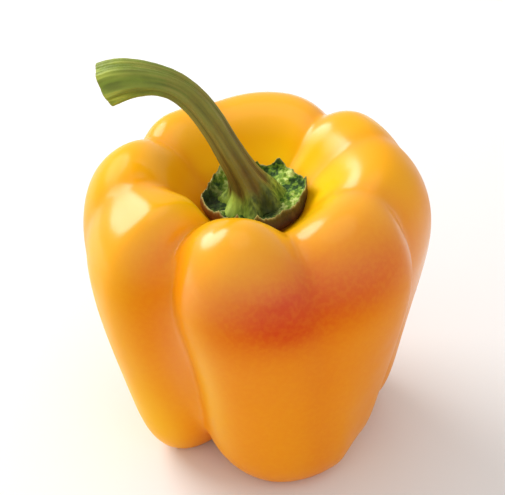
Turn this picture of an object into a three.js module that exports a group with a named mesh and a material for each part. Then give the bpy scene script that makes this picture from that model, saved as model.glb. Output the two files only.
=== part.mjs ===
// A whole bell pepper with its stalk, standing on its own feet.
// Millimetres, +Z up. The group's origin is on the surface it stands on, under the middle of the fruit.
// Angles are in degrees, counter-clockwise from +X seen from above. The front is at 270.
import * as THREE from "three";

// Driving dimensions of the fruit. All heights are above the surface that it stands on.
const CAVITY_FLOOR_R = 7;      // flat middle of the sunken top
const CAVITY_WALL_R = 12.5;    // where the wall of the sunken top starts to climb
const CAVITY_FLOOR_Z = 69;
const NAVEL_Z = 9;             // blossom end, sunk between the feet
const SHOULDER_Z = 62;         // height where the fruit is widest
const WAIST_Z = 40;            // height where the flanks start to draw in
const LOW_Z = 20;              // lower flank
const LEAN = 5;                // how far the feet stand towards +X of the crown
const LEAN_HEIGHT = 86;        // height where the lean starts
const LOBE_FULLNESS = 0.8;     // below 1, the lobes between the furrows are fuller

// The skin's furrows and the lobes between them, once round the fruit.
// at: where it is on the crown.
// innerZ: height halfway up the wall of the sunken top.
// crestR, crestZ: top of the lobe beside the sunken top. shoulder, waist, foot: radii down the outside.
// sole: lowest height. soft: how rounded the bottom of a furrow is.
const RING = [
  { kind: "furrow", at: 230, innerZ: 74, crestR: 20, crestZ: 75,
    shoulder: 35, waist: 32, foot: 20.5, sole: 6.5, soft: 0.08 },
  { kind: "lobe", at: 264, innerZ: 77, crestR: 24, crestZ: 84.8,
    shoulder: 43.5, waist: 40, foot: 29.6, sole: 0, soft: 0 },
  { kind: "furrow", at: 293, innerZ: 71.5, crestR: 22, crestZ: 77,
    shoulder: 41.5, waist: 40, foot: 28, sole: -0.3, soft: 0.35 },
  { kind: "lobe", at: 326, innerZ: 77, crestR: 25, crestZ: 81.5,
    shoulder: 45.5, waist: 41.5, foot: 24.2, sole: -0.2, soft: 0 },
  { kind: "furrow", at: 343, innerZ: 78, crestR: 26, crestZ: 80.8,
    shoulder: 40, waist: 37, foot: 20, sole: 7, soft: 0.15 },
  { kind: "lobe", at: 364, innerZ: 78.5, crestR: 28, crestZ: 83,
    shoulder: 45.8, waist: 42.4, foot: 26, sole: -0.5, soft: 0 },
  { kind: "furrow", at: 383, innerZ: 77.5, crestR: 28, crestZ: 81.7,
    shoulder: 45, waist: 39, foot: 24, sole: 0, soft: 0.1 },
  { kind: "lobe", at: 400, innerZ: 78, crestR: 28.5, crestZ: 82,
    shoulder: 45.7, waist: 38.5, foot: 23, sole: -0.5, soft: 0 },
  { kind: "furrow", at: 414, innerZ: 74.5, crestR: 26, crestZ: 78.8,
    shoulder: 39.5, waist: 34, foot: 18, sole: 7, soft: 0.12 },
  { kind: "lobe", at: 436, innerZ: 75, crestR: 28, crestZ: 81,
    shoulder: 43, waist: 37, foot: 22, sole: -0.5, soft: 0 },
  { kind: "furrow", at: 470, innerZ: 74.5, crestR: 27, crestZ: 79.6,
    shoulder: 40, waist: 37, foot: 22, sole: -0.5, soft: 0.5 },
  { kind: "lobe", at: 490, innerZ: 75, crestR: 27, crestZ: 80.6,
    shoulder: 40, waist: 37, foot: 22, sole: -0.5, soft: 0 },
  { kind: "furrow", at: 507, innerZ: 73.5, crestR: 25, crestZ: 78.5,
    shoulder: 38, waist: 35, foot: 17, sole: 7, soft: 0.2 },
  { kind: "lobe", at: 530, innerZ: 75, crestR: 26, crestZ: 82.5,
    shoulder: 44, waist: 41, foot: 22, sole: 0, soft: 0 },
  { kind: "furrow", at: 549, innerZ: 74.5, crestR: 25, crestZ: 79.8,
    shoulder: 43, waist: 42, foot: 22.5, sole: -0.5, soft: 0.3 },
  { kind: "lobe", at: 573, innerZ: 79.5, crestR: 22.5, crestZ: 81,
    shoulder: 44.5, waist: 43.5, foot: 30, sole: -0.2, soft: 0 },
];
// How far round three of them have moved, in degrees, at the measures further down.
const SWINGS = {
  230: { shoulder: 5.4, waist: 9, foot: 3.6, sole: 3.6 },
  264: { foot: 14, sole: 14 },
  293: { foot: 10, sole: 10 },
};
const COLUMNS_PER_KNOT = 5;
// Rings of the skin between one control row and the next, from the middle of the top downwards.
const SKIN_STEPS = [1, 1, 2, 3, 2, 3, 3, 4, 4, 4, 3, 2, 1];

// The calyx: its rim, and the dried floor inside the rim, once round the stalk.
const CALYX_UNDER_Z = 70.4;    // underside, just clear of the fruit
const CALYX_UNDER_R = 9;
const CALYX_SEAT_Z = 72.2;     // where the stalk stands
const CALYX_SEAT_R = 9.6;
const CALYX_WALL = 1;          // thickness of the upturned rim
const CALYX_COLUMNS = 90;
const RIM = [
  { at: 16, rimR: 14.1, rimZ: 75.6, skirtR: 14.0, floorZ: 74.4 },
  { at: 35, rimR: 12.9, rimZ: 75.3, skirtR: 13.3, floorZ: 74.6 },
  { at: 50, rimR: 13.2, rimZ: 75.4, skirtR: 13.3, floorZ: 74.6 },
  { at: 76, rimR: 11, rimZ: 75, skirtR: 12.2, floorZ: 73.8 },
  { at: 105, rimR: 11.6, rimZ: 75, skirtR: 12.8, floorZ: 72.8 },
  { at: 132, rimR: 12.2, rimZ: 75.8, skirtR: 13.2, floorZ: 72.2 },
  { at: 152, rimR: 11.5, rimZ: 75.2, skirtR: 12.8, floorZ: 71.9 },
  { at: 172, rimR: 11.9, rimZ: 75, skirtR: 13, floorZ: 71.8 },
  { at: 196, rimR: 13.1, rimZ: 75.2, skirtR: 12.9, floorZ: 71.9 },
  { at: 224, rimR: 13.1, rimZ: 75.1, skirtR: 12.9, floorZ: 72.4 },
  { at: 255, rimR: 12.2, rimZ: 74.8, skirtR: 12.8, floorZ: 73.2 },
  { at: 290, rimR: 11.4, rimZ: 74.7, skirtR: 13.7, floorZ: 73.4 },
  { at: 320, rimR: 11.6, rimZ: 74.9, skirtR: 13.4, floorZ: 73.8 },
  { at: 347, rimR: 12.3, rimZ: 75.2, skirtR: 13.6, floorZ: 74.2 },
];
// Teeth of the rim: where each stands, how high, and how far it spreads on each side.
const TEETH = [
  { at: 12, high: 2.2, spread: 7 },
  { at: 36, high: 0.9, spread: 5 },
  { at: 60, high: 2.7, spread: 9 },
  { at: 84, high: 1, spread: 5 },
  { at: 132, high: 2, spread: 9 },
  { at: 168, high: 0.8, spread: 6 },
  { at: 200, high: 1.6, spread: 6 },
  { at: 228, high: 0.8, spread: 5 },
  { at: 252, high: 1.6, spread: 5 },
  { at: 276, high: 1.4, spread: 5 },
  { at: 312, high: 0.8, spread: 6 },
];

// The stalk: points of its middle line and its radius at each.
const STALK = [
  { x: 0, y: 0, z: 72.6, r: 8.2 },
  { x: -0.2, y: 0, z: 75, r: 6.6 },
  { x: -1.1, y: 0, z: 77.8, r: 4.9 },
  { x: -2.6, y: 0.1, z: 81, r: 4 },
  { x: -5.9, y: 0.7, z: 87.5, r: 3.5 },
  { x: -9, y: 1.8, z: 93.2, r: 3.4 },
  { x: -12.8, y: 3, z: 99.4, r: 3.5 },
  { x: -17.3, y: 4.4, z: 104, r: 3.4 },
  { x: -22.4, y: 5.3, z: 106, r: 3.6 },
  { x: -27.8, y: 6, z: 106.4, r: 4.4 },
  { x: -32.8, y: 6.2, z: 105.8, r: 5.3 },
  { x: -36.3, y: 6.2, z: 104.2, r: 5.5 },
];
const STALK_COLUMNS = 28;
const STALK_STEPS = 2;         // rings between one point of the middle line and the next
const STALK_RIDGES = 7;
const RIDGE_TURN = THREE.MathUtils.degToRad(222);     // turn of the first ridge
const STALK_RIDGE = 0.05;      // how far a ridge stands out, as a share of the radius
const FOOT_RIDGE = 0.09;       // how much further at the stalk's foot
const FOOT_TOP_Z = 81;         // where the flutes of the foot have faded out

// Height between a furrow, 0, and the lobe beside it, 1. The bottom is rounded by soft.
function rise(across, soft) {
  const height = Math.sin((Math.PI * across) / 2);
  return ((Math.hypot(height, soft) - soft) / (Math.hypot(1, soft) - soft)) ** LOBE_FULLNESS;
}

// A measure of the skin at an angle, from the furrow and the lobe on either side of it.
function skinMeasureAt(angle, name) {
  const knots = RING.map((knot) => ({ ...knot, at: knot.at + (SWINGS[knot.at]?.[name] ?? 0) }));
  knots.push({ ...knots[0], at: knots[0].at + 360 });
  const turned = knots[0].at + THREE.MathUtils.euclideanModulo(angle - knots[0].at, 360);
  const next = knots.findIndex((knot) => knot.at > turned);
  const after = knots[next];
  const before = knots[next - 1];
  const share = (turned - before.at) / (after.at - before.at);
  if (before.kind === "furrow") {
    return before[name] + (after[name] - before[name]) * rise(share, before.soft);
  }
  return after[name] + (before[name] - after[name]) * rise(1 - share, after.soft);
}

// The same, with the sharp bottoms of the furrows and tops of the lobes eased.
const EASE_ANGLE = 2;
function skinMeasure(angle, name) {
  const here = skinMeasureAt(angle, name);
  const beside = skinMeasureAt(angle - EASE_ANGLE, name) + skinMeasureAt(angle + EASE_ANGLE, name);
  return (2 * here + beside) / 4;
}

// Control rows of the skin at an angle, [radius, height], from the middle of the top downwards.
function skinRows(angle) {
  const innerZ = skinMeasure(angle, "innerZ");
  const crestR = skinMeasure(angle, "crestR");
  const crestZ = skinMeasure(angle, "crestZ");
  const shoulder = skinMeasure(angle, "shoulder");
  const waist = skinMeasure(angle, "waist");
  const foot = skinMeasure(angle, "foot");
  const sole = skinMeasure(angle, "sole");
  return [
    [0, CAVITY_FLOOR_Z],
    [CAVITY_FLOOR_R, CAVITY_FLOOR_Z],
    [CAVITY_WALL_R, CAVITY_FLOOR_Z + 0.5],
    [(CAVITY_WALL_R + crestR) / 2, innerZ],
    [crestR - 3, crestZ + 0.5],
    [crestR + 7, crestZ + 3],
    [shoulder - 1, crestZ - 6],
    [shoulder + 1.5, SHOULDER_Z],
    [waist, WAIST_Z],
    [0.45 * waist + 0.55 * (foot + 7), LOW_Z],
    [foot + 7, sole + 3],
    [foot - 4, sole - 3.4],
    [8, NAVEL_Z - 2],
    [0, NAVEL_Z],
  ];
}

// A point on the smooth cubic curve that a row of control points draws, at a place counted in control points.
function curvePoint(points, place) {
  const last = points.length - 1;
  const start = Math.min(Math.floor(place), last - 1);
  const u = place - start;
  const weights = [(1 - u) ** 3, 3 * u ** 3 - 6 * u ** 2 + 4, -3 * u ** 3 + 3 * u ** 2 + 3 * u + 1, u ** 3];
  const pointAt = (index) => {
    if (index < 0) return points[0].map((value, axis) => 2 * value - points[1][axis]);
    if (index > last) return points[last].map((value, axis) => 2 * value - points[last - 1][axis]);
    return points[index];
  };
  const sum = points[0].map(() => 0);
  weights.forEach((weight, index) => {
    const point = pointAt(start - 1 + index);
    sum.forEach((_, axis) => {
      sum[axis] += (weight * point[axis]) / 6;
    });
  });
  return sum;
}

// A closed body from rings of points, each ring counter-clockwise seen from where the first ring faces.
// The first and the last ring are closed by a fan round their middle.
function closedBody(rings) {
  const columns = rings[0].length;
  const positions = rings.flat().flatMap((point) => [point.x, point.y, point.z]);
  const indices = [];
  const corner = (ring, column) => ring * columns + (column % columns);
  for (let ring = 0; ring < rings.length - 1; ring += 1) {
    for (let column = 0; column < columns; column += 1) {
      const [a, b] = [corner(ring, column), corner(ring, column + 1)];
      const [c, d] = [corner(ring + 1, column), corner(ring + 1, column + 1)];
      indices.push(a, c, b, b, c, d);
    }
  }
  const addFan = (ring, firstRing) => {
    const middle = new THREE.Vector3();
    rings[ring].forEach((point) => middle.addScaledVector(point, 1 / columns));
    const tip = positions.length / 3;
    positions.push(middle.x, middle.y, middle.z);
    for (let column = 0; column < columns; column += 1) {
      const [a, b] = [corner(ring, column), corner(ring, column + 1)];
      indices.push(...(firstRing ? [tip, a, b] : [tip, b, a]));
    }
  };
  addFan(0, true);
  addFan(rings.length - 1, false);
  const geometry = new THREE.BufferGeometry();
  geometry.setAttribute("position", new THREE.Float32BufferAttribute(positions, 3));
  geometry.setIndex(indices);
  geometry.computeVertexNormals();
  return geometry;
}

function piece(name, geometry, color, roughness) {
  const material = new THREE.MeshStandardMaterial({ color, roughness, metalness: 0 });
  const mesh = new THREE.Mesh(geometry, material);
  mesh.name = name;
  return mesh;
}

// The fruit: control rows at each angle, drawn as smooth rings, leaned, and flattened where the feet stand.
function fruit() {
  const angles = RING.flatMap((knot, index) => {
    const nextAt = index + 1 < RING.length ? RING[index + 1].at : RING[0].at + 360;
    const step = (nextAt - knot.at) / COLUMNS_PER_KNOT;
    return Array.from({ length: COLUMNS_PER_KNOT }, (_, count) => knot.at + count * step);
  });
  const columns = angles.map((angle) => ({ angle: THREE.MathUtils.degToRad(angle), rows: skinRows(angle) }));
  const places = SKIN_STEPS.flatMap((steps, row) => {
    return Array.from({ length: steps }, (_, count) => row + count / steps);
  });
  places.push(SKIN_STEPS.length - 0.15);
  const rings = places.slice(1).map((place) => columns.map(({ angle, rows }) => {
    const [radius, height] = curvePoint(rows, place);
    const low = THREE.MathUtils.clamp(1 - height / LEAN_HEIGHT, 0, 1);
    const x = radius * Math.cos(angle) + LEAN * low ** 2;
    return new THREE.Vector3(x, radius * Math.sin(angle), Math.max(height, 0));
  }));
  return piece("fruit", closedBody(rings), 0xf0a02c, 0.25);
}

// A measure of the calyx at an angle, eased from one entry of RIM to the next.
function rimMeasure(angle, name) {
  const first = RIM[0].at;
  const turned = first + THREE.MathUtils.euclideanModulo(angle - first, 360);
  const next = RIM.findIndex((entry) => entry.at > turned);
  const after = next < 0 ? { ...RIM[0], at: first + 360 } : RIM[next];
  const before = RIM[(next < 0 ? RIM.length : next) - 1];
  const share = THREE.MathUtils.smoothstep(turned, before.at, after.at);
  return before[name] + (after[name] - before[name]) * share;
}

// How high the teeth of the rim stand at an angle.
function toothHeight(angle) {
  return TEETH.reduce((highest, tooth) => {
    const away = Math.abs(THREE.MathUtils.euclideanModulo(angle - tooth.at + 180, 360) - 180);
    return Math.max(highest, tooth.high * (1 - away / tooth.spread));
  }, 0);
}

// The calyx: a shallow cup with an upturned, toothed rim, from its underside round the rim to its seat.
function calyx() {
  const columns = Array.from({ length: CALYX_COLUMNS }, (_, count) => (count * 360) / CALYX_COLUMNS);
  const profiles = columns.map((angle) => {
    const rimR = rimMeasure(angle, "rimR");
    const skirtR = rimMeasure(angle, "skirtR");
    const rimZ = rimMeasure(angle, "rimZ");
    const floorZ = rimMeasure(angle, "floorZ");
    const tooth = toothHeight(angle);
    return [
      [CALYX_SEAT_R - 1, CALYX_SEAT_Z],
      [CALYX_SEAT_R, CALYX_SEAT_Z],
      [CALYX_SEAT_R + 0.2, floorZ],
      [rimR - 1.7 * CALYX_WALL, Math.min(floorZ + 0.3, rimZ - 0.5)],
      [rimR - CALYX_WALL, rimZ - 0.2 + 0.9 * tooth],
      [rimR, rimZ + tooth],
      [(rimR + skirtR) / 2 + 0.3, rimZ - 1.6],
      [skirtR, CALYX_UNDER_Z + 1.8],
      [skirtR - 2.2, CALYX_UNDER_Z + 0.6],
      [CALYX_UNDER_R, CALYX_UNDER_Z],
    ];
  });
  const rings = profiles[0].map((_, row) => columns.map((angle, column) => {
    const [radius, height] = profiles[column][row];
    const turn = THREE.MathUtils.degToRad(angle);
    return new THREE.Vector3(radius * Math.cos(turn), radius * Math.sin(turn), height);
  }));
  return piece("calyx", closedBody(rings), 0x6f8a35, 0.75);
}

// The stalk: fluted rings square to its middle line, from its cut end to its foot.
function stem() {
  const points = STALK.map(({ x, y, z, r }) => [x, y, z, r]);
  const count = (points.length - 1) * STALK_STEPS;
  const places = Array.from({ length: count + 1 }, (_, index) => index / STALK_STEPS);
  const stations = places.map((place) => {
    const [x, y, z, r] = curvePoint(points, place);
    return { middle: new THREE.Vector3(x, y, z), r };
  });
  const rings = stations.map(({ middle, r }, index) => {
    const ahead = stations[Math.min(index + 1, count)].middle;
    const behind = stations[Math.max(index - 1, 0)].middle;
    const along = index === 0 ? new THREE.Vector3(0, 0, 1) : ahead.clone().sub(behind).normalize();
    const side = new THREE.Vector3(0, 1, 0).cross(along).normalize();
    const across = along.clone().cross(side);
    const foot = THREE.MathUtils.clamp((FOOT_TOP_Z - middle.z) / (FOOT_TOP_Z - STALK[0].z), 0, 1);
    const ridge = STALK_RIDGE + FOOT_RIDGE * foot;
    return Array.from({ length: STALK_COLUMNS }, (_, column) => {
      const turn = (column * 2 * Math.PI) / STALK_COLUMNS;
      const radius = r * (1 + ridge * Math.cos(STALK_RIDGES * (turn - RIDGE_TURN)));
      const point = middle.clone().addScaledVector(side, radius * Math.cos(turn));
      return point.addScaledVector(across, radius * Math.sin(turn));
    });
  });
  return piece("stem", closedBody(rings.reverse()), 0x6b6a2e, 0.6);
}

const pepper = new THREE.Group();
pepper.add(fruit(), calyx(), stem());
const box = new THREE.Box3().setFromObject(pepper);
pepper.position.set(-(box.min.x + box.max.x) / 2, -(box.min.y + box.max.y) / 2, -box.min.z);
export default pepper;
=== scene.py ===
# %% [markdown]
# # A bell pepper
# A bell pepper is one berry, grown from one flower, with a green calyx and a ridged stalk on top.
# Everything here is drawn from a few measured rings: where each furrow and each lobe lies, and how
# far it stands out. The same rings made the solid part that this script dresses, so the fine skin
# lies exactly where the solid is.

# %% Load the solid part
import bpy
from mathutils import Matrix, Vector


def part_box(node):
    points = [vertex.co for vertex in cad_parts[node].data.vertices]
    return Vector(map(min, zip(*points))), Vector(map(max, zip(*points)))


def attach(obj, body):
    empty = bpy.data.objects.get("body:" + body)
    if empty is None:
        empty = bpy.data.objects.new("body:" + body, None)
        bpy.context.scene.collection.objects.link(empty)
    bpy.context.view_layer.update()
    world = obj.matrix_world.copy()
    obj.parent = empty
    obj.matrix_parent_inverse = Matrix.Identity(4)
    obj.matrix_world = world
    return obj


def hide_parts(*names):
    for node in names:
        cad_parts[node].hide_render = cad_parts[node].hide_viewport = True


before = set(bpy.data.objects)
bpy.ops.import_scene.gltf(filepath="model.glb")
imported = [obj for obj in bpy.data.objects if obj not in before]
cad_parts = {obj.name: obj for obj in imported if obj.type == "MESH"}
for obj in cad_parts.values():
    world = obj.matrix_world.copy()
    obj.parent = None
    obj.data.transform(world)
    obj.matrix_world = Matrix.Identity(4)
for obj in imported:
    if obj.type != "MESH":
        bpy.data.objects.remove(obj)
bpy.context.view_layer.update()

import math
from collections import namedtuple

import bpy
import numpy as np
from mathutils import Vector, noise

MM = 0.001                     # Blender works in metres, a grower's ruler in millimetres

# %% [markdown]
# ## The camera
# The camera comes first, because it decides what is seen. The real picture looks down at the pepper
# by about forty degrees, from about half a metre away, so a long lens stands at that place and aims
# at the middle of the fruit. Building the direction from two angles keeps the view easy to change.

# %% Camera
LOOK_DOWN = 40                 # degrees below the horizon
CAMERA_DISTANCE = 480          # mm from the point it aims at
AIM_HEIGHT = 56.5              # mm above the surface, on the axis of the fruit
SENSOR = 36                    # mm, along the picture's long side
FOCAL_LENGTH = 130.5           # mm


def look_from(owner, place, aim):
    """Puts an object at a place and turns its -Z axis towards the aim."""
    owner.location = place
    owner.rotation_euler = (aim - place).to_track_quat("-Z", "Y").to_euler()


def add_camera(aim):
    """A long lens in front of the pepper, looking down at the aim."""
    lens = bpy.data.cameras.new("studio_camera")
    lens.sensor_width = SENSOR
    lens.lens = FOCAL_LENGTH
    lens.dof.use_dof = False
    camera = bpy.data.objects.new("studio_camera", lens)
    bpy.context.scene.collection.objects.link(camera)
    down = math.radians(LOOK_DOWN)
    back = Vector((0, -math.cos(down), math.sin(down)))
    look_from(camera, aim + back * CAMERA_DISTANCE * MM, aim)
    bpy.context.scene.camera = camera
    print("camera:", LOOK_DOWN, "degrees down,", CAMERA_DISTANCE, "mm away,", FOCAL_LENGTH, "mm lens")


# %% [markdown]
# ## The rings of the skin
# A pepper grows from four carpels. Between two carpels the skin dives into a deep furrow, and along
# the back of each carpel runs a second, weaker one. A subdivision cage could be pushed into that shape
# by hand, but it is hard to keep even. Here each furrow and each lobe is one named row of sizes, and
# everything between them is worked out, so the shape can be read and changed row by row.

# %% Furrows and lobes
# at is in degrees round the axis, the rest in mm: the height of the inner wall, the radius and height
# of the crest, three radii further down and the height of the sole. soft rounds the bottom.
Knot = namedtuple("Knot", "kind at inner_z crest_r crest_z shoulder waist foot sole soft")
RING = [
    Knot("furrow", 230, 74, 20, 75, 35, 32, 20.5, 6.5, 0.08),
    Knot("lobe", 264, 77, 24, 84.8, 43.5, 40, 29.6, 0, 0),
    Knot("furrow", 293, 71.5, 22, 77, 41.5, 40, 28, -0.3, 0.35),
    Knot("lobe", 326, 77, 25, 81.5, 45.5, 41.5, 24.2, -0.2, 0),
    Knot("furrow", 343, 78, 26, 80.8, 40, 37, 20, 7, 0.15),
    Knot("lobe", 364, 78.5, 28, 83, 45.8, 42.4, 26, -0.5, 0),
    Knot("furrow", 383, 77.5, 28, 81.7, 45, 39, 24, 0, 0.1),
    Knot("lobe", 400, 78, 28.5, 82, 45.7, 38.5, 23, -0.5, 0),
    Knot("furrow", 414, 74.5, 26, 78.8, 39.5, 34, 18, 7, 0.12),
    Knot("lobe", 436, 75, 28, 81, 43, 37, 22, -0.5, 0),
    Knot("furrow", 470, 74.5, 27, 79.6, 40, 37, 22, -0.5, 0.5),
    Knot("lobe", 490, 75, 27, 80.6, 40, 37, 22, -0.5, 0),
    Knot("furrow", 507, 73.5, 25, 78.5, 38, 35, 17, 7, 0.2),
    Knot("lobe", 530, 75, 26, 82.5, 44, 41, 22, 0, 0),
    Knot("furrow", 549, 74.5, 25, 79.8, 43, 42, 22.5, -0.5, 0.3),
    Knot("lobe", 573, 79.5, 22.5, 81, 44.5, 43.5, 30, -0.2, 0),
]
SWINGS = {                     # how far round three of them have moved, in degrees, further down
    230: {"shoulder": 5.4, "waist": 9, "foot": 3.6, "sole": 3.6},
    264: {"foot": 14, "sole": 14},
    293: {"foot": 10, "sole": 10},
}
CAVITY_FLOOR_R = 7             # flat middle of the sunken top
CAVITY_WALL_R = 12.5           # where the wall of the sunken top starts to climb
CAVITY_FLOOR_Z = 69
NAVEL_R = 8                    # blossom end, sunk between the feet
NAVEL_Z = 9
SHOULDER_Z = 62                # height where the fruit is widest
WAIST_Z = 40                   # height where the flanks start to draw in
LOW_Z = 20                     # lower flank
LEAN = 5                       # how far the feet stand towards +X of the crown
LEAN_HEIGHT = 86               # height where the lean starts
EASE_ANGLE = 2                 # degrees over which sharp bottoms and tops are eased
LOBE_FULLNESS = 0.8            # below 1, the lobes between the furrows are fuller
print("furrows:", sum(knot.kind == "furrow" for knot in RING))

# %% [markdown]
# From a furrow to the lobe beside it the skin climbs like a quarter of a sine wave, steep out of the
# furrow and level on the lobe. Raising the wave to a power below 1 makes the lobe fuller, as if it were
# pressed from the inside. How far the bottom is rounded is a number in each row.

# %% Between a furrow and a lobe
def rise(across, soft):
    """Height between a furrow, 0, and the lobe beside it, 1. The bottom is rounded by soft."""
    height = np.sin(np.pi * across / 2)
    return ((np.hypot(height, soft) - soft) / (np.hypot(1, soft) - soft)) ** LOBE_FULLNESS


def skin_measure_at(angles, name):
    """A measure of the skin at each angle, from the furrow and the lobe on either side of it."""
    knots = [knot._replace(at=knot.at + SWINGS.get(knot.at, {}).get(name, 0)) for knot in RING]
    knots.append(knots[0]._replace(at=knots[0].at + 360))
    turned = (angles - knots[0].at) % 360 + knots[0].at
    values = np.zeros(len(angles))
    for before, after in zip(knots[:-1], knots[1:]):
        inside = (turned >= before.at) & (turned < after.at)
        share = (turned[inside] - before.at) / (after.at - before.at)
        low, high = getattr(before, name), getattr(after, name)
        if before.kind == "lobe":
            values[inside] = high + (low - high) * rise(1 - share, after.soft)
        else:
            values[inside] = low + (high - low) * rise(share, before.soft)
    return values


def skin_measure(angles, name):
    """The same, eased over a small angle."""
    beside = skin_measure_at(angles - EASE_ANGLE, name) + skin_measure_at(angles + EASE_ANGLE, name)
    return (2 * skin_measure_at(angles, name) + beside) / 4


print("crest of the front lobe, mm:", skin_measure(np.array([264.0]), "crest_z").round(1))
print("crest of the furrow beside it, mm:", skin_measure(np.array([293.0]), "crest_z").round(1))

# %% [markdown]
# ## From rows to a smooth skin
# At each angle the skin is a short list of control rows: the floor of the sunken top, the crest, the
# shoulder, the waist, the foot and the sunken blossom end. A cubic B-spline led by these rows has no
# kinks in curvature, which matters on a glossy fruit, because a kink would show in every highlight.
# It rounds the corners off, so some rows stand a little outside the skin that they make.

# %% Control rows
def skin_rows(angles):
    """Radii and heights of the control rows, each an array of rows by angles."""
    inner_z, crest_r, crest_z, shoulder, waist, foot, sole = (
        skin_measure(angles, name) for name in Knot._fields[2:-1])
    level = np.ones(len(angles))
    rows = [
        # floor and wall of the sunken top
        (0 * level, CAVITY_FLOOR_Z * level),
        (CAVITY_FLOOR_R * level, CAVITY_FLOOR_Z * level),
        (CAVITY_WALL_R * level, (CAVITY_FLOOR_Z + 0.5) * level),
        ((CAVITY_WALL_R + crest_r) / 2, inner_z),
        # over the crest
        (crest_r - 3, crest_z + 0.5),
        (crest_r + 7, crest_z + 3),
        # shoulder, waist and lower flank
        (shoulder - 1, crest_z - 6),
        (shoulder + 1.5, SHOULDER_Z * level),
        (waist, WAIST_Z * level),
        (0.45 * waist + 0.55 * (foot + 7), LOW_Z * level),
        # round the foot
        (foot + 7, sole + 3),
        (foot - 4, sole - 3.4),
        # sunken blossom end
        (NAVEL_R * level, (NAVEL_Z - 2) * level),
        (0 * level, NAVEL_Z * level),
    ]
    return np.array([row[0] for row in rows]), np.array([row[1] for row in rows])


print("control rows:", len(skin_rows(np.array([264.0]))[0]))


# %% The curve between them
def smooth_curve(rows, places):
    """Cubic B-spline along the first axis of rows, at places counted in rows."""
    last = len(rows) - 1
    padded = np.concatenate([2 * rows[:1] - rows[1:2], rows, 2 * rows[-1:] - rows[-2:-1]])
    start = np.minimum(places.astype(int), last - 1)
    u = (places - start).reshape((-1,) + (1,) * (rows.ndim - 1))
    weights = [(1 - u) ** 3, 3 * u ** 3 - 6 * u ** 2 + 4, -3 * u ** 3 + 3 * u ** 2 + 3 * u + 1, u ** 3]
    return sum(weight * padded[start + step] for step, weight in enumerate(weights)) / 6


# %% [markdown]
# ## One mesh from many rings
# All three pieces are stacks of rings, closed at both ends by a fan. Writing the corners and faces
# straight into a mesh is exact and quick, and it lets each point carry its own notes, such as how deep
# it lies in a furrow. The finishes read those notes later, which places a tint exactly on the shape.

# %% Rings to a mesh
def add_note(piece, name, values):
    """Writes one number on every corner, and the mean of the last ring on each closing tip."""
    ends = [values[0].mean(), values[-1].mean()]
    layer = piece.data.attributes.new(name, "FLOAT", "POINT")
    layer.data.foreach_set("value", np.concatenate([values.ravel(), ends]).astype(np.float32))


def new_piece(name, rings, notes):
    """A closed, smooth mesh from rings of points in mm. notes holds an array for each name."""
    rows, columns = rings.shape[:2]
    tips = np.array([rings[0].mean(axis=0), rings[-1].mean(axis=0)])
    points = np.concatenate([rings.reshape(-1, 3), tips]) * MM
    corner = np.arange(rows * columns).reshape(rows, columns)
    beside = np.roll(corner, -1, axis=1)
    quads = np.stack([corner[:-1], corner[1:], beside[1:], beside[:-1]], axis=-1).reshape(-1, 4)
    top_tip, end_tip = rows * columns, rows * columns + 1
    top_fan = [(top_tip, a, b) for a, b in zip(corner[0].tolist(), beside[0].tolist())]
    end_fan = [(end_tip, b, a) for a, b in zip(corner[-1].tolist(), beside[-1].tolist())]
    mesh = bpy.data.meshes.new(name)
    mesh.from_pydata(points.tolist(), [], quads.tolist() + top_fan + end_fan)
    mesh.shade_smooth()
    piece = bpy.data.objects.new(name, mesh)
    for note, values in notes.items():
        add_note(piece, note, values)
    bpy.context.scene.collection.objects.link(piece)
    print(name, "points:", len(points), "faces:", len(mesh.polygons))
    return piece


def roughen(piece, waves, push_scale=None):
    """Moves each point along its normal by soft noise. waves is a list of (wavelength, height) in mm."""
    mesh = piece.data
    moved = []
    for index, vertex in enumerate(mesh.vertices):
        push = sum(noise.noise(vertex.co / (length * MM)) * height for length, height in waves)
        push *= MM if push_scale is None else MM * push_scale[index]
        moved.append(vertex.co + vertex.normal * push)
    for vertex, place in zip(mesh.vertices, moved):
        vertex.co = place


# %% [markdown]
# ## The fruit
# The skin is drawn at one degree round and about half a millimetre down, which is fine enough that no
# facet shows. Real skin isn't a perfect curve, so two soft waves are added after, the larger of them
# 0.3 millimetres high. They bend the reflections a little, as on the real fruit.

# %% Rings of the fruit
SKIN_COLUMNS = 360
SKIN_STEPS = [6, 6, 8, 14, 12, 16, 18, 26, 32, 34, 26, 14, 8]     # rings between control rows
SKIN_WAVES = [(24, 0.3), (11, 0.04)]                              # wavelength and height, mm
FURROW_SPREAD = 7              # degrees over which a furrow's note fades


def steps_to_places(steps):
    """Where each ring lies, counted in control rows."""
    return np.concatenate([row + np.arange(count) / count for row, count in enumerate(steps)])


def fruit_rings():
    """The skin as rings in mm, with the angle of each column and the radius of each point."""
    angles = np.arange(SKIN_COLUMNS) * 360 / SKIN_COLUMNS
    radii, heights = skin_rows(angles)
    places = steps_to_places(SKIN_STEPS)[1:]
    radius, height = smooth_curve(radii, places), smooth_curve(heights, places)
    turn = np.radians(angles)
    low = np.clip(1 - height / LEAN_HEIGHT, 0, 1)
    across = radius * np.cos(turn) + LEAN * low ** 2
    rings = np.stack([across, radius * np.sin(turn), np.maximum(height, 0)], -1)
    return rings, angles, radius


def furrow_depth(angles):
    """1 along the bottom of a furrow, 0 on the lobes, once round."""
    depth = np.zeros(len(angles))
    for knot in RING:
        away = np.abs((angles - knot.at + 180) % 360 - 180)
        if knot.kind == "furrow":
            depth = np.maximum(depth, np.exp(-(away / FURROW_SPREAD) ** 2))
    return depth


fruit_grid, skin_angles, skin_radius = fruit_rings()
print("rings:", len(fruit_grid), "widest radius, mm:", skin_radius.max().round(1))

# %% [markdown]
# The part's frame starts at the middle of the fruit's box, and the rings start at the fruit's axis. The
# step from one to the other is read from the solid, so the skin lands on it with no fitting by eye.

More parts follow.
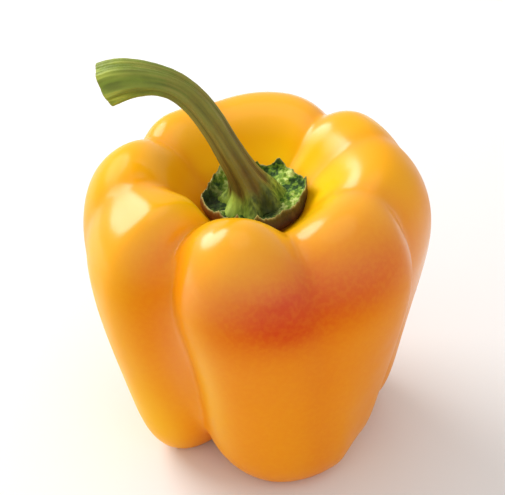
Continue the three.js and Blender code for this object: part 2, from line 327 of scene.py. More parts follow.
# %% The fruit
middle = (fruit_grid.reshape(-1, 3).min(axis=0) + fruit_grid.reshape(-1, 3).max(axis=0)) / 2
lowest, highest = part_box("fruit")
shift_x = (lowest.x + highest.x) / 2 / MM - middle[0]
shift_y = (lowest.y + highest.y) / 2 / MM - middle[1]
shift = np.array([shift_x, shift_y, 0])
print("axis of the fruit in the part's frame, mm:", shift.round(2))

# The furrow note later tints the furrow bottoms a deeper orange, as painted shade.
furrow_note = np.broadcast_to(furrow_depth(skin_angles), skin_radius.shape)
height_note = fruit_grid[..., 2] / LEAN_HEIGHT
fruit = new_piece("pepper_fruit", fruit_grid + shift, {"furrow": furrow_note, "height": height_note})
roughen(fruit, SKIN_WAVES)

# %% [markdown]
# ## The calyx
# The green cap is what is left of the flower. It sits sunk in the crown as a shallow cup: an outer
# wall, a thin pale rim with ragged teeth, and a dry crumbled floor that climbs towards the rim on one
# side and falls into a hollow on the other. The wall and the hollows are painted dark, as painted shade.
# The cap is drawn like the skin, from rows round the stalk, and the teeth are added to the rim rows
# only, so that they stand up as thin points.

# %% Rim and teeth of the calyx
Rim = namedtuple("Rim", "at rim_r rim_z skirt_r floor_z")
RIM = [
    Rim(16, 14.1, 75.6, 14.0, 74.4),
    Rim(35, 12.9, 75.3, 13.3, 74.6),
    Rim(50, 13.2, 75.4, 13.3, 74.6),
    Rim(76, 11, 75, 12.2, 73.8),
    Rim(105, 11.6, 75, 12.8, 72.8),
    Rim(132, 12.2, 75.8, 13.2, 72.2),
    Rim(152, 11.5, 75.2, 12.8, 71.9),
    Rim(172, 11.9, 75, 13, 71.8),
    Rim(196, 13.1, 75.2, 12.9, 71.9),
    Rim(224, 13.1, 75.1, 12.9, 72.4),
    Rim(255, 12.2, 74.8, 12.8, 73.2),
    Rim(290, 11.4, 74.7, 13.7, 73.4),
    Rim(320, 11.6, 74.9, 13.4, 73.8),
    Rim(347, 12.3, 75.2, 13.6, 74.2),
]
Tooth = namedtuple("Tooth", "at high spread")
TEETH = [
    Tooth(12, 2.2, 7), Tooth(36, 0.9, 5), Tooth(57, 2.5, 9), Tooth(84, 1, 5), Tooth(132, 2, 9),
    Tooth(168, 0.8, 6), Tooth(200, 1.6, 6), Tooth(228, 0.8, 5), Tooth(252, 1.6, 5), Tooth(276, 1.4, 5),
    Tooth(312, 0.8, 6),
]
print("teeth:", len(TEETH), "highest, mm:", max(tooth.high for tooth in TEETH))


# %% Measures round the rim
def rim_measure(angles, name):
    """A measure of the calyx at each angle, eased from one row of RIM to the next."""
    entries = RIM + [RIM[0]._replace(at=RIM[0].at + 360)]
    turned = (angles - RIM[0].at) % 360 + RIM[0].at
    values = np.zeros(len(angles))
    for before, after in zip(entries[:-1], entries[1:]):
        inside = (turned >= before.at) & (turned < after.at)
        share = (turned[inside] - before.at) / (after.at - before.at)
        eased = share * share * (3 - 2 * share)
        values[inside] = getattr(before, name) + (getattr(after, name) - getattr(before, name)) * eased
    return values


def tooth_height(angles):
    """How far the teeth stand above the rim at each angle, in mm."""
    height = np.zeros(len(angles))
    for tooth in TEETH:
        away = np.abs((angles - tooth.at + 180) % 360 - 180)
        height = np.maximum(height, tooth.high * (1 - away / tooth.spread))
    return height


def wander(angles, length, seed):
    """Soft noise once round, between about -1 and 1. length is the wavelength in degrees."""
    turns = np.radians(angles)
    reach = 360 / length / (2 * math.pi)
    spots = [Vector((math.cos(turn) * reach, math.sin(turn) * reach, seed)) for turn in turns]
    return np.array([noise.noise(spot) for spot in spots]) * 2


# %% [markdown]
# No two teeth of a real calyx are alike, and its rim is torn. It could be sculpted, but named teeth and
# a little noise once round are quick to set and easy to change. Fine noise nicks the rim, and slower
# noise makes it wander in and out and lays folds beside it.

# %% Rings of the calyx
CALYX_MIDDLE_R = 0.6
CALYX_MIDDLE_Z = 72.3          # floor under the stalk
CALYX_FLOOR_R = 6
CALYX_FLOOR_Z = 72.4           # floor beside the stalk
CALYX_CLIMB_R = 8.4            # where the floor starts to climb
CALYX_UNDER_R = 3
CALYX_UNDER_Z = 70.4           # flat underside
CALYX_COLUMNS = 540
CALYX_STEPS = [2, 3, 4, 8, 9, 6, 4, 4, 8, 8, 6, 3]     # rings between control rows


def calyx_rings():
    """The calyx as rings in mm, with where each point lies across the section, counted in rows."""
    angles = np.arange(CALYX_COLUMNS) * 360 / CALYX_COLUMNS
    rim_r, rim_z, skirt_r, floor_z = (rim_measure(angles, name) for name in Rim._fields[1:])
    nicks = 0.35 * np.abs(wander(angles, 7, 1.5)) + 0.25 * wander(angles, 3, 4.2)
    tooth = tooth_height(angles) + nicks
    rim_r = rim_r + 0.35 * wander(angles, 16, 8.1)
    fold = wander(angles, 15, 3.3)
    level = np.ones(CALYX_COLUMNS)
    rows = [
        # floor, from the middle out
        (CALYX_MIDDLE_R * level, CALYX_MIDDLE_Z * level),
        (CALYX_FLOOR_R * level, CALYX_FLOOR_Z * level),
        (CALYX_CLIMB_R * level, 0.6 * floor_z + 0.4 * CALYX_FLOOR_Z),
        (rim_r - 2.6, floor_z + 0.4 * fold),
        (rim_r - 1, 0.5 * (floor_z + rim_z) + 0.5 * fold),
        # up and over the thin rim
        (rim_r - 0.4, rim_z - 0.7 + 0.8 * tooth),
        (rim_r - 0.15, rim_z + 0.3 + tooth),
        (rim_r + 0.15, rim_z + 0.2 + tooth),
        (rim_r + 0.35, rim_z - 0.8 + 0.5 * tooth),
        # down the outer wall and under
        ((rim_r + skirt_r) / 2 + 0.5, rim_z - 2),
        (skirt_r + 0.1, (CALYX_UNDER_Z + 1.4) * level),
        (skirt_r - 1.6, (CALYX_UNDER_Z + 0.1) * level),
        (CALYX_UNDER_R * level, CALYX_UNDER_Z * level),
    ]
    radii, heights = np.array([row[0] for row in rows]), np.array([row[1] for row in rows])
    places = steps_to_places(CALYX_STEPS)
    radius, height = smooth_curve(radii, places), smooth_curve(heights, places)
    turn = np.radians(angles)
    rings = np.stack([radius * np.cos(turn), radius * np.sin(turn), height], -1)
    return rings, angles, places[:, None] + 0 * radius, radius, fold + 0 * radius


calyx_grid, calyx_angles, calyx_across, calyx_radius, fold_note = calyx_rings()
print("rings:", len(calyx_grid), "highest tooth at, mm:", calyx_grid[..., 2].max().round(1))

# %% [markdown]
# Each part of the cup gets its own note: the floor inside, the pale rim, the lip below it, the two
# hollows, which are painted dark as painted shade, and the browner left wall. Where a part lies round
# the stalk is given as a side: a middle angle and how far it spreads. The crumbs are real relief,
# strong on the floor and weak on the wall.

# %% The calyx
Side = namedtuple("Side", "at spread")
# The two hollows get painted shade: their floor is darkened to a nearly black green.
LEFT_HOLLOW = Side(182, 42)
FRONT_HOLLOW = Side(306, 26)
LEFT_WALL = Side(208, 44)
LEFT_HOLLOW_EDGE = (6, 9)      # where it starts and where it is full, in mm from the axis
FRONT_HOLLOW_EDGE = (11.5, 9.5)
INSIDE_EDGE = (6.4, 5.8)       # the same, counted in rows of the section
LIP_EDGE = (9.2, 7.8)
CRUMBS_EDGE = (6, 4.5)
RIM_ROW = 6.6
RIM_SPREAD = 0.6
CRUMBS = [(2.6, 0.6), (1.1, 0.4), (0.5, 0.15)]         # wavelength and height, mm


def near_side(angles, side):
    """1 in the middle of a side, fading to 0 over its spread."""
    away = (angles - side.at + 180) % 360 - 180
    return np.exp(-(away / side.spread) ** 2)


def fade(values, edge):
    """0 where an edge starts, 1 where it is full, and straight between."""
    start, full = edge
    return np.clip((values - start) / (full - start), 0, 1)


inside_note = fade(calyx_across, INSIDE_EDGE)
rim_note = np.exp(-((calyx_across - RIM_ROW) / RIM_SPREAD) ** 2)
left_hollow = near_side(calyx_angles, LEFT_HOLLOW) * fade(calyx_radius, LEFT_HOLLOW_EDGE)
front_hollow = near_side(calyx_angles, FRONT_HOLLOW) * fade(calyx_radius, FRONT_HOLLOW_EDGE)
hollow_shade_note = np.maximum(left_hollow, front_hollow) * inside_note
lip_note = fade(calyx_across, LIP_EDGE)
left_note = near_side(calyx_angles, LEFT_WALL) + 0 * calyx_across
calyx = new_piece("pepper_calyx", calyx_grid + shift, {
    "inside": inside_note, "rim": rim_note, "fold": fold_note, "hollow": hollow_shade_note,
    "lip": lip_note, "left": left_note})
crumble = 0.1 + 0.9 * fade(calyx_across, CRUMBS_EDGE)
roughen(calyx, CRUMBS, np.concatenate([crumble.ravel(), [0, 0]]))

# %% [markdown]
# ## The stalk
# The stalk rises from the cup, leans to the left, bends over and widens to the place where it was cut.
# It could be a bevelled curve, but its section isn't round: seven ridges run along it, fan out into
# flutes at the foot, and carry fine fibres. So each ring is drawn square to the middle line, with the
# ridges as waves round it.

# %% Middle line of the stalk
Station = namedtuple("Station", "x y z r")
STALK = [
    Station(0, 0, 72.6, 8.2),
    Station(-0.2, 0, 75, 6.6),
    Station(-1.1, 0, 77.8, 4.9),
    Station(-2.6, 0.1, 81, 4),
    Station(-5.9, 0.7, 87.5, 3.5),
    Station(-9, 1.8, 93.2, 3.4),
    Station(-12.8, 3, 99.4, 3.5),
    Station(-17.3, 4.4, 104, 3.4),
    Station(-22.4, 5.3, 106, 3.6),
    Station(-27.8, 6, 106.4, 4.4),
    Station(-32.8, 6.2, 105.8, 5.3),
    Station(-36.3, 6.2, 104.2, 5.5),
]
print("rise of the stalk, mm:", round(max(station.z for station in STALK) - STALK[0].z, 1))

# %% Rings of the stalk
STALK_COLUMNS = 252
STALK_STEPS = 22               # rings between one station and the next
RIDGES = 7
RIDGE = 0.05                   # how far a ridge stands out, as a share of the radius
FOOT_RIDGE = 0.09              # how much further at the foot
FOOT_TOP_Z = 81                # where the flutes of the foot have faded out
RIDGE_TURN = math.radians(222)
FIBRES = 31
FIBRE = 0.012                  # how far a fibre stands out, as a share of the radius


def stalk_rings():
    """The stalk as rings in mm, with where each lies along it, counted in stations."""
    stations = np.array(STALK, dtype=float)
    places = np.arange((len(STALK) - 1) * STALK_STEPS + 1) / STALK_STEPS
    line = smooth_curve(stations, places)
    middles, radii = line[:, :3], line[:, 3]
    along = np.gradient(middles, axis=0)
    along /= np.linalg.norm(along, axis=1, keepdims=True)
    side = np.cross([0, 1, 0], along)
    side /= np.linalg.norm(side, axis=1, keepdims=True)
    across = np.cross(along, side)
    turn = np.arange(STALK_COLUMNS) * 2 * np.pi / STALK_COLUMNS
    foot = np.clip((FOOT_TOP_Z - middles[:, 2]) / (FOOT_TOP_Z - STALK[0].z), 0, 1)
    foot[places > 4] = 0
    ridge = (RIDGE + FOOT_RIDGE * foot)[:, None] * np.cos(RIDGES * (turn - RIDGE_TURN))
    fibre = FIBRE * np.cos(FIBRES * turn + 2 * np.sin(3 * turn))
    radius = radii[:, None] * (1 + ridge + fibre)
    rings = middles[:, None] + radius[..., None] * (
        np.cos(turn)[:, None] * side[:, None] + np.sin(turn)[:, None] * across[:, None])
    return rings, places, turn


# %% [markdown]
# The face of the cut looks away from the camera, so its shape is a guess. It is closed with a few
# smaller and smaller rings: a rounded lip, and then a middle that sank a little as it dried.

# %% The cut end
CUT_ROWS = [(0.97, 0.25), (0.9, 0.35), (0.75, 0.15), (0.55, -0.15), (0.3, -0.5), (0.1, -0.6)]


def cut_end(rings):
    """Closes the cut end. A row of CUT_ROWS is a share of the end's radius and how far out it lies."""
    last = rings[-1]
    centre = last.mean(axis=0)
    outward = np.cross(last[STALK_COLUMNS // 4] - centre, last[0] - centre)
    outward /= -np.linalg.norm(outward)
    added = [centre + (last - centre) * share + outward * out for share, out in CUT_ROWS]
    return np.concatenate([rings, added])


stalk_grid, stalk_places, stalk_turn = stalk_rings()
stalk_grid = cut_end(stalk_grid)
print("rings:", len(stalk_grid), "top of the stalk, mm:", stalk_grid[..., 2].max().round(1))

# %% [markdown]
# The notes of the stalk say how far along it a point lies, whether it is on a ridge, in the flutes of
# the foot or on the cut face, and where a streak runs. The streaks are noise stretched along the stalk,
# because the fibres under the skin run that way.

# %% The stalk
FRESH_FLUTE = Side(216, 26)
# The flutes on this side get painted shade.
SHADED_FLUTE = Side(304, 30)
FOOT_EDGE = (4.7, 6)           # radius where the foot starts and where it is full, mm
STREAK_TURNS = 4.5             # how fast the streaks change round the stalk
STREAK_RUN = 7                 # how fast they change along it
STALK_WAVES = [(6, 0.12), (1.6, 0.06)]                 # wavelength and height, mm

extra_rings = len(stalk_grid) - len(stalk_places)
length_note = np.concatenate([stalk_places / stalk_places[-1], np.full(extra_rings, 1.0)])
cut_note = np.concatenate([np.zeros(len(stalk_places)), np.ones(extra_rings)])
level = np.ones(stalk_grid.shape[:2])
stalk_radius = np.linalg.norm(stalk_grid - stalk_grid.mean(axis=1, keepdims=True), axis=-1)
foot_note = fade(stalk_radius, FOOT_EDGE)
foot_note[length_note > 0.5] = 0
turn_degrees = np.degrees(stalk_turn)
streak_ring = [(STREAK_TURNS * math.cos(turn), STREAK_TURNS * math.sin(turn)) for turn in stalk_turn]
streak_note = np.array([
    [noise.noise(Vector((x, y, STREAK_RUN * place))) for x, y in streak_ring] for place in length_note])
stalk_notes = {
    "along": length_note[:, None] * level,
    "cut": cut_note[:, None] * level,
    "ridge": (0.5 + 0.5 * np.cos(RIDGES * (stalk_turn - RIDGE_TURN))) * level,
    "foot": foot_note,
    "streak": streak_note,
    "fresh": near_side(turn_degrees, FRESH_FLUTE) * np.clip(1.6 * foot_note, 0, 1),
    # painted shade on the flutes of the foot that face away from the light
    "flute_shade": near_side(turn_degrees, SHADED_FLUTE) * np.clip(1.4 * foot_note, 0, 1),
}
stalk_notes = {name: note[::-1] for name, note in stalk_notes.items()}
stem = new_piece("pepper_stem", (stalk_grid + shift)[::-1], stalk_notes)
roughen(stem, STALK_WAVES)

# %% [markdown]
# ## Tools for the finishes
# Each finish is a small node tree. A few helpers keep them short: one gives a colour as a painter names
# it, one reads a note that the mesh carries, and the rest add one node each. The patterns use the
# object's own coordinates, so they stay on the skin whatever the camera does.

# %% Node helpers
RANGE_ENDS = ("From Min", "From Max", "To Min", "To Max")


def paint(red, green, blue):
    """A colour on the usual 0 to 255 scale, as the linear values that the nodes use."""
    def linear(value):
        share = value / 255
        return share / 12.92 if share <= 0.04045 else ((share + 0.055) / 1.055) ** 2.4
    return (linear(red), linear(green), linear(blue), 1)


class Finish:
    """A material with its own node tree, and the nodes that the finishes share."""

    def __init__(self, name):
        self.material = bpy.data.materials.new(name)
        self.material.use_nodes = True
        self.tree = self.material.node_tree
        self.shader = self.tree.nodes["Principled BSDF"]
        self.place = self.add("ShaderNodeTexCoord").outputs["Object"]

    def add(self, kind, **inputs):
        """A new node. Each input is named with _ for a space."""
        node = self.tree.nodes.new(kind)
        for name, value in inputs.items():
            self.feed(value, node.inputs[name.replace("_", " ")])
        return node

    def feed(self, value, socket):
        """Links a socket to another, or sets its value."""
        if isinstance(value, bpy.types.NodeSocket):
            self.tree.links.new(value, socket)
        else:
            socket.default_value = value

    def note(self, name):
        """A note that the mesh carries, as a number at each point."""
        node = self.add("ShaderNodeAttribute")
        node.attribute_name = name
        return node.outputs["Fac"]

    def grain(self, size, detail=2, stretch=(1, 1, 1)):
        """Noise from 0 to 1 whose spots are about size mm across."""
        mapped = self.add("ShaderNodeMapping", Vector=self.place, Scale=stretch)
        node = self.add("ShaderNodeTexNoise", Vector=mapped.outputs[0], Scale=1 / (size * MM))
        node.inputs["Detail"].default_value = detail
        return node.outputs["Fac"]

    def remap(self, value, low, high, to_low=0.0, to_high=1.0):
        """Turns the range from low to high into another, with a soft start and end."""
        node = self.add("ShaderNodeMapRange", Value=value)
        node.interpolation_type = "SMOOTHSTEP"
        for name, number in zip(RANGE_ENDS, (low, high, to_low, to_high)):
            node.inputs[name].default_value = number
        return node.outputs["Result"]

    def maths(self, operation, first, second):
        """One step of arithmetic with two values."""
        node = self.add("ShaderNodeMath")
        node.operation = operation
        self.feed(first, node.inputs[0])
        self.feed(second, node.inputs[1])
        return node.outputs[0]

    def blend(self, share, first, second):
        """The first colour where the share is 0, the second where it is 1."""
        node = self.add("ShaderNodeMix")
        node.data_type = "RGBA"
        self.feed(share, node.inputs["Factor"])
        self.feed(first, node.inputs[6])
        self.feed(second, node.inputs[7])
        return node.outputs[2]

    def tint(self, colour, name, share, shade):
        """Blends a shade into a colour, up to a share, where the mesh carries a note."""
        return self.blend(self.maths("MULTIPLY", self.note(name), share), colour, shade)

    def ramp(self, value, stops):
        """A colour for each value. stops is a list of (value, colour)."""
        node = self.add("ShaderNodeValToRGB", Fac=value)
        elements = node.color_ramp.elements
        while len(elements) < len(stops):
            elements.new(0.5)
        for element, (position, colour) in zip(elements, stops):
            element.position = position
            element.color = colour
        return node.outputs["Color"]

    def bump(self, height, depth, below=None):
        """A bump whose height, from 0 to 1, stands for depth in mm."""
        node = self.add("ShaderNodeBump", Height=height, Distance=depth * MM)
        if below is not None:
            self.feed(below, node.inputs["Normal"])
        return node.outputs["Normal"]

    def finish(self, piece, **sockets):
        """Feeds the shader's own sockets and puts the material on a piece."""
        for name, value in sockets.items():
            self.feed(value, self.shader.inputs[name.replace("_", " ")])
        piece.data.materials.append(self.material)
        print(self.material.name, "nodes:", len(self.tree.nodes))


print("a ripe orange, as the nodes take it:", [round(value, 3) for value in paint(245, 148, 13)])

# %% [markdown]
# ## The skin of the fruit
# The ripe skin is yellow round the crown and turns orange down the flanks. The walls of the sunken top
# are painted a brighter yellow and the left flanks paler, as painted light. Deep orange patches lie
# under
# the shoulder: partly the skin's own deeper orange, partly painted shade on the front and the right,
# where little light falls, and the bottoms of the furrows are tinted deeper as painted shade. The flesh
# under the thin skin lets light in, so a little subsurface scattering softens the shade. The wax is a
# clear coat. It is thick on the shoulders and in two grooves and nearly gone on the flanks, which is why
# the pale highlights stay near the crown, so its weight follows a note on the mesh.

# %% Ripe, pale and waxy places
# at and wide are in degrees, z and tall in mm.
Patch = namedtuple("Patch", "at z wide tall strength")
# Deep orange patches: partly the skin's own deeper orange, partly painted shade on the front and the
# right, where little light falls.
RIPE_AND_SHADE_PATCHES = [
    Patch(282, 67.5, 16, 9, 0.9),
    Patch(306, 71, 20, 9, 0.55),
    Patch(322, 76, 18, 9, 0.4),
    Patch(286, 60, 44, 22, 0.3),
    Patch(260, 68, 13, 12, 0.4),
    Patch(8, 74, 18, 12, 0.35),
    Patch(228, 60, 9, 18, 0.35),
    Patch(20, 62, 14, 10, 0.4),
    Patch(98, 64, 16, 9, 0.5),
    Patch(165, 58, 15, 10, 0.4),
    Patch(203, 79, 18, 9, 0.25),
    Patch(232, 78, 12, 10, 0.2),
    Patch(276, 76, 15, 9, 0.28),
]
# Pale patches are painted light: paler, yellower skin on the flanks that face the large light, and at
# 250 a narrow pale band of painted reflection on the front lobe.
PALE_PATCHES = [
    Patch(202, 50, 28, 40, 0.75),
    Patch(214, 14, 22, 16, 0.75),
    Patch(196, 26, 20, 20, 0.3),
    Patch(250, 40, 7, 28, 0.7),
    Patch(28, 80, 30, 12, 0.6),
    Patch(120, 50, 20, 30, 0.5),
]
WAX_PATCHES = [
    Patch(350, 58, 11, 22, 1.0),
    Patch(346, 26, 6, 16, 0.5),
    Patch(236, 44, 6, 30, 0.6),
]
print("ripe, pale and waxy patches:", len(RIPE_AND_SHADE_PATCHES), len(PALE_PATCHES), len(WAX_PATCHES))


# %% Notes for the skin
OUTSIDE_EDGE = (24, 34)        # mm from the axis, where patches start and where they are full
INNER_TOP_EDGE = (28, 18)      # mm from the axis, at the top of the inner wall
INNER_FOOT_EDGE = (11, 17)     # mm from the axis, at the foot of the inner wall
INNER_LEFT = Side(172, 44)     # inner walls that are less yellow
INNER_BACK = Side(100, 30)
SHOULDER_WAX = 0.8             # thickness on the shoulders, where 1 is the thickest
WAX_HEIGHT_EDGE = (63, 76)     # mm above the surface
WAX_INNER_EDGE = (20, 27)      # mm from the axis
WAX_OUTER_EDGE = (26, 34)      # mm from the axis, on the sides with little wax
OUTER_LEFT = Side(164, 36)     # shoulders with little wax
OUTER_RIGHT = Side(16, 26)


def patch_note(patches):
    """The sum of soft spots on the outside of the skin."""
    spots = np.zeros(skin_radius.shape)
    for patch in patches:
        away = ((skin_angles - patch.at + 180) % 360 - 180) / patch.wide
        up = (skin_height - patch.z) / patch.tall
        spots = spots + patch.strength * np.exp(-away ** 2 - up ** 2)
    return spots * fade(skin_radius, OUTSIDE_EDGE)


def inner_light_note():
    """1 where the walls of the sunken top are painted a brighter yellow, as painted light, less near the
    calyx and on two sides.
    """
    wall = fade(skin_radius, INNER_TOP_EDGE) * (skin_height > SHOULDER_Z)
    wall = wall * np.maximum(fade(skin_radius, INNER_FOOT_EDGE), 0.3)
    side = 1 - 0.9 * near_side(skin_angles, INNER_LEFT) - 0.5 * near_side(skin_angles, INNER_BACK)
    return wall * side


def wax_note():
    """How thick the wax is, from 0 to 1: the shoulders, then the grooves."""
    shoulder = SHOULDER_WAX * fade(skin_height, WAX_HEIGHT_EDGE)
    shoulder = shoulder * np.maximum(fade(skin_radius, WAX_INNER_EDGE), 0.15)
    thin = 0.95 * near_side(skin_angles, OUTER_LEFT) + 0.85 * near_side(skin_angles, OUTER_RIGHT)
    shoulder = shoulder * (1 - thin * fade(skin_radius, WAX_OUTER_EDGE))
    return np.maximum(shoulder, patch_note(WAX_PATCHES))


skin_height = fruit_grid[..., 2]
# The ripe note carries the deep orange patches, which are partly painted shade.
add_note(fruit, "ripe", patch_note(RIPE_AND_SHADE_PATCHES))
# The pale note is painted light and a painted reflection.
add_note(fruit, "pale", patch_note(PALE_PATCHES))
# The inner note is painted light on the walls of the sunken top, where little light falls.
add_note(fruit, "inner", inner_light_note())
add_note(fruit, "wax", wax_note())
print("notes on the fruit:", [layer.name for layer in fruit.data.attributes if not layer.is_internal])


# %% [markdown]
# The ground colour follows the height, with slow noise so that no level line shows. Each note is then
# laid over it with a tint of its own. Pores and a slow ripple, a hundredth of a millimetre deep at the
# most, break up the gloss as bumps, because they are too fine to be worth points in the mesh.

# %% Skin finish
def skin_finish():
    skin = Finish("pepper_skin")
    drift = skin.maths("MULTIPLY_ADD", skin.grain(26, 1), 0.22)
    drift.node.inputs[2].default_value = -0.11
    tone = skin.maths("ADD", skin.note("height"), drift)
    colour = skin.ramp(tone, [
        (0.0, paint(240, 146, 18)),
        (0.5, paint(245, 148, 13)),
        (0.8, paint(250, 157, 3)),
        (0.93, paint(254, 176, 3)),
    ])
    # Painted light: the pale note makes the flanks facing the large light paler and yellower, and lays a
    # band of painted reflection on the front lobe.
    colour = skin.tint(colour, "pale", 0.9, paint(255, 190, 4))
    # Painted light: the inner note brightens the walls of the sunken top to yellow.
    colour = skin.tint(colour, "inner", 0.9, paint(255, 204, 4))
    # The ripe tint is partly the skin's own deeper orange and partly painted shade on the front and the
    # right.
    colour = skin.tint(colour, "ripe", 0.85, paint(216, 68, 5))
    # Painted shade: the furrow bottoms are tinted a deeper orange.
    colour = skin.tint(colour, "furrow", 0.25, paint(226, 104, 8))
    speckle = skin.remap(skin.grain(1.3, 3), 0.35, 0.7, 0.0, 0.1)
    colour = skin.blend(speckle, colour, paint(250, 180, 20))
    gloss = skin.remap(skin.grain(8, 2), 0.3, 0.7, 0.32, 0.4)
    pores = skin.bump(skin.grain(0.7, 2), 0.004)
    ripple = skin.bump(skin.grain(6, 1), 0.01, pores)
    skin.finish(
        fruit,
        Base_Color=colour,
        Roughness=gloss,
        Normal=ripple,
        Specular_IOR_Level=0.13,
        Specular_Tint=(1, 0.7, 0.15, 1),
        Subsurface_Weight=0.02,
        Subsurface_Radius=(1.0, 0.45, 0.12),
        Subsurface_Scale=2 * MM,
        Coat_Weight=skin.remap(skin.note("wax"), 0, 1, 0.04, 1),
        Coat_Roughness=0.2,
        Coat_IOR=1.55,
    )


skin_finish()

# %% [markdown]
# ## The calyx and the stalk
# Both are plant tissue that has begun to dry: green where it is fresh, pale where it broke and brown
# where it aged. The hollows of the cup, its outer wall and one side of the stalk's foot are painted
# dark, as painted shade. They are dull, so most of their look is colour and relief.

# %% Calyx finish
def calyx_finish():
    green = Finish("calyx_green")
    cells = green.remap(green.grain(1.4, 3), 0.36, 0.66)
    folds = green.remap(green.note("fold"), -0.7, 0.7)
    cells = green.maths("MULTIPLY", cells, 0.55)
    folds = green.maths("MULTIPLY", folds, 0.45)
    mottle = green.maths("ADD", cells, folds)
    floor = green.ramp(mottle, [
        (0.15, paint(44, 74, 22)),
        (0.38, paint(98, 134, 40)),
        (0.62, paint(150, 180, 58)),
        (0.88, paint(214, 226, 130)),
    ])
    # Painted shade: the hollows are darkened to a nearly black green.
    floor = green.tint(floor, "hollow", 0.85, paint(42, 48, 26))
    # The outer wall's dark maroon is painted shade, with painted orange light thrown up from the fruit.
    wall = green.ramp(green.grain(3, 2), [
        (0.35, paint(42, 14, 8)),
        (0.6, paint(72, 32, 14)),
        (0.8, paint(100, 70, 26)),
    ])
    wall = green.tint(wall, "lip", 0.5, paint(98, 96, 36))
    wall = green.tint(wall, "left", 0.75, paint(140, 82, 22))
    colour = green.blend(green.note("inside"), wall, floor)
    worn = green.remap(green.grain(2.2, 2), 0.35, 0.65, 0.25, 0.8)
    colour = green.tint(colour, "rim", worn, paint(214, 214, 140))
    rough = green.bump(green.grain(0.6, 3), 0.25)
    green.finish(calyx, Base_Color=colour, Roughness=0.66, Normal=rough, Specular_IOR_Level=0.25,
                 Subsurface_Weight=0.05, Subsurface_Radius=(0.5, 1.0, 0.2), Subsurface_Scale=1 * MM)


calyx_finish()


# %% [markdown]
# The stalk is brown just above its foot and greener towards the cut. Light and dark streaks follow the
# fibres, the ridges are worn pale, and the flutes of the foot are fresh on one side and painted dark on
# another, as painted shade.

# %% Stalk finish
def stalk_finish():
    stalk = Finish("stalk_green")
    along = stalk.note("along")
    wander_along = stalk.maths("ADD", along, stalk.remap(stalk.grain(5, 2), 0.3, 0.7, -0.07, 0.07))
    colour = stalk.ramp(wander_along, [
        (0.0, paint(112, 118, 36)),
        (0.1, paint(88, 68, 22)),
        (0.25, paint(104, 82, 28)),
        (0.5, paint(122, 110, 36)),
        (0.75, paint(108, 122, 38)),
        (1.0, paint(132, 150, 46)),
    ])
    tip = stalk.remap(along, 0.78, 0.98)
    streak = stalk.remap(stalk.note("streak"), -0.45, 0.1, 0.34, 0.0)
    colour = stalk.blend(streak, colour, paint(56, 54, 18))
    light_streak = stalk.remap(stalk.note("streak"), 0.05, 0.5, 0.0, 0.5)
    light_shade = stalk.blend(tip, paint(146, 132, 58), paint(200, 210, 84))
    colour = stalk.blend(light_streak, colour, light_shade)
    colour = stalk.tint(colour, "ridge", 0.25, paint(158, 160, 70))
    foot = stalk.ramp(stalk.grain(0.8, 2, (1, 1, 0.2)), [
        (0.35, paint(84, 108, 34)),
        (0.65, paint(156, 178, 66)),
    ])
    colour = stalk.tint(colour, "foot", 0.9, foot)
    # Painted shade: the flutes on the side away from the light are darkened to a nearly black green.
    colour = stalk.tint(colour, "flute_shade", 0.85, paint(40, 46, 20))
    colour = stalk.tint(colour, "fresh", 0.75, paint(196, 220, 88))
    pith = stalk.ramp(stalk.grain(0.8, 3), [(0.35, paint(120, 84, 40)), (0.65, paint(190, 176, 112))])
    colour = stalk.blend(stalk.note("cut"), colour, pith)
    fibres = stalk.bump(stalk.grain(0.5, 3, (1, 1, 0.3)), 0.12)
    stalk.finish(stem, Base_Color=colour, Roughness=0.5, Normal=fibres, Specular_IOR_Level=0.3,
                 Subsurface_Weight=0.04, Subsurface_Radius=(0.6, 1.0, 0.3), Subsurface_Scale=1 * MM)


stalk_finish()

# %% [markdown]
# ## The studio
# The pepper stands on a plain pale floor, a card with the faintest cloud in it. It is far wider than the
# picture, so no edge of it shows.

# %% Floor
FLOOR_SIZE = 6000


def add_floor():
    """A pale card with a faint cloudiness."""
    half = FLOOR_SIZE / 2 * MM
    corners = [(-half, -half, 0), (half, -half, 0), (half, half, 0), (-half, half, 0)]
    mesh = bpy.data.meshes.new("studio_floor")
    mesh.from_pydata(corners, [], [(0, 1, 2, 3)])
    floor = bpy.data.objects.new("studio_floor", mesh)
    bpy.context.scene.collection.objects.link(floor)
    card = Finish("floor_card")
    cloud = card.remap(card.grain(300, 2), 0.3, 0.7, 0.0, 1.0)
    white = card.blend(cloud, paint(238, 237, 235), paint(243, 242, 240))
    card.finish(floor, Base_Color=white, Roughness=0.8)


add_floor()

# %% [markdown]
# One large soft light hangs behind the pepper on the left, high enough to lay a pale patch on the top
# left of the lobes. A wide, weak light above it and a bright room on all sides fill the shade, so that
# the furrows stay warm and the shadow on the floor stays faint.

# %% Lights and room
KEY_SIZE = 560                 # mm across
KEY_DISTANCE = 760             # mm from the point that it aims at
KEY_TURN = 128                 # degrees from the front, towards the left and the back
KEY_RISE = 34                  # degrees above the floor
KEY_POWER = 5.2                # watts
TOP_SIZE = 900
TOP_HEIGHT = 1100              # mm above the point that it aims at
TOP_BACK = 200                 # mm behind it
TOP_POWER = 1
ROOM_BACK = 0.62               # brightness of the room behind the pepper
ROOM_FRONT = 0.86


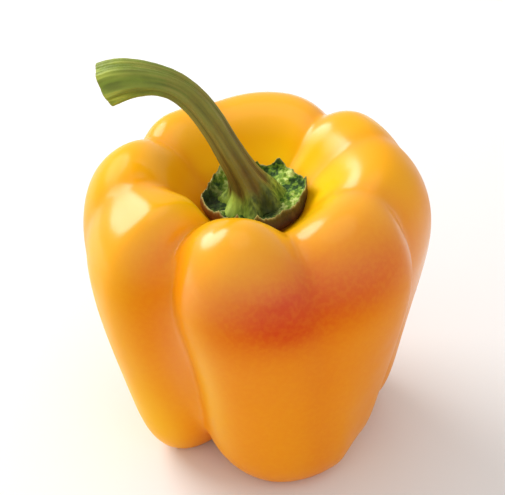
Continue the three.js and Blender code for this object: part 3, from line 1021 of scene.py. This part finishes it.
def add_softbox(name, size, power, place, aim):
    """A round soft light, size in mm and power in watts."""
    light = bpy.data.lights.new(name, "AREA")
    light.shape = "DISK"
    light.size = size * MM
    light.energy = power
    lamp = bpy.data.objects.new(name, light)
    bpy.context.scene.collection.objects.link(lamp)
    look_from(lamp, place, aim)
    print(name, "size, mm:", size, "power, W:", power)


def add_room():
    """A bright room, a little brighter towards the front."""
    world = bpy.data.worlds.new("studio_room")
    bpy.context.scene.world = world
    world.use_nodes = True
    tree = world.node_tree
    facing = tree.nodes.new("ShaderNodeVectorMath")
    facing.operation = "DOT_PRODUCT"
    facing.inputs[1].default_value = (0, -1, 0)
    tree.links.new(tree.nodes.new("ShaderNodeTexCoord").outputs["Generated"], facing.inputs[0])
    level = tree.nodes.new("ShaderNodeMapRange")
    level.interpolation_type = "SMOOTHSTEP"
    for name, value in zip(RANGE_ENDS, (-0.3, 0.8, ROOM_BACK, ROOM_FRONT)):
        level.inputs[name].default_value = value
    tree.links.new(facing.outputs["Value"], level.inputs["Value"])
    tree.links.new(level.outputs["Result"], tree.nodes["Background"].inputs["Strength"])
    tree.nodes["Background"].inputs["Color"].default_value = (1, 1, 1, 1)


def key_place(aim):
    """Where the large light hangs, from its turn, its rise and its distance."""
    turn, climb = math.radians(KEY_TURN), math.radians(KEY_RISE)
    level_way = math.cos(climb)
    way = Vector((-math.sin(turn) * level_way, -math.cos(turn) * level_way, math.sin(climb)))
    return aim + way * KEY_DISTANCE * MM


aim_point = Vector((shift[0], shift[1], AIM_HEIGHT)) * MM
add_camera(aim_point)
add_softbox("key_softbox", KEY_SIZE, KEY_POWER, key_place(aim_point), aim_point)
top_place = aim_point + Vector((0, TOP_BACK * MM, TOP_HEIGHT * MM))
add_softbox("top_softbox", TOP_SIZE, TOP_POWER, top_place, aim_point)
add_room()
bpy.context.scene.view_settings.view_transform = "Standard"

# %% [markdown]
# ## Pieces and their solids
# Each fine piece stands for one solid of the part. Nothing on a pepper moves, so all three ride on
# the one body.

# %% Hand the pieces over
for piece, node, slot in (
        (fruit, "fruit", "fruit_skin"), (calyx, "calyx", "calyx_green"), (stem, "stem", "stalk_green")):
    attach(piece, "root")
    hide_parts(node)
    print(piece.name, "stands for", node)
